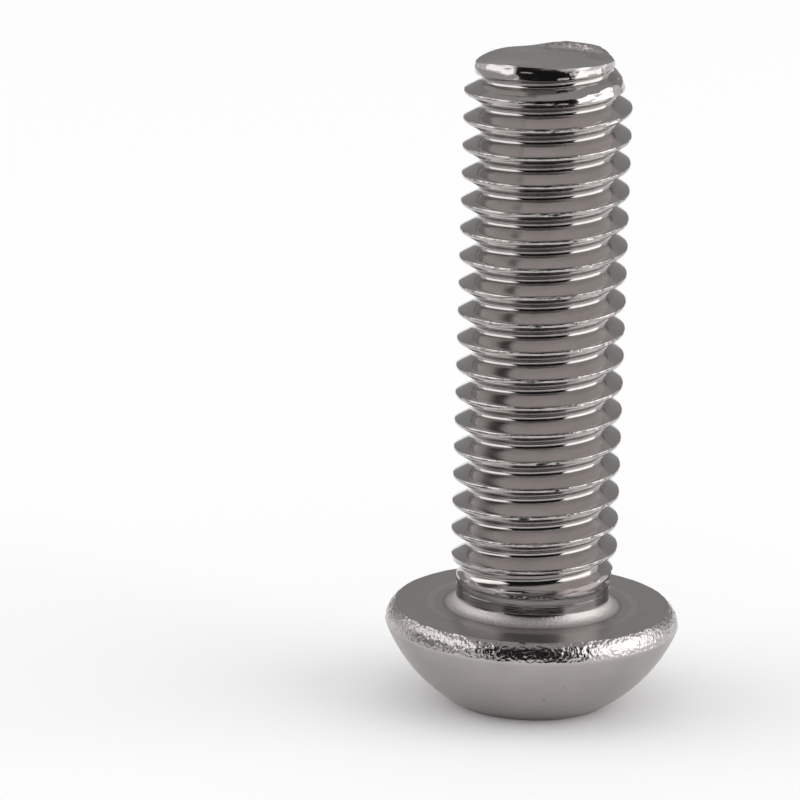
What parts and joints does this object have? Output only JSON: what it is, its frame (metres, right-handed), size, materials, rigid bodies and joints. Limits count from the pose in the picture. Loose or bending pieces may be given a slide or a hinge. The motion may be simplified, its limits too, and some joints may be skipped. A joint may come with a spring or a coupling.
{
  "type": "button head screw",
  "caption": "Hexagon socket button head screw: a low domed head with a flat bearing face on a metric shank threaded up to the head",
  "frame": {"origin": "centre of the bearing face under the head", "axes": "+Z along the shank from the head to the tip, -Y the front of the picture, +X to its right"},
  "size_m": [0.0104, 0.0104, 0.0237],
  "materials": {
    "stainless_steel": "satin, bare stainless steel"
  },
  "bodies": {
    "root": {"button_head_screw": "stainless_steel"}
  },
  "joints": []
}
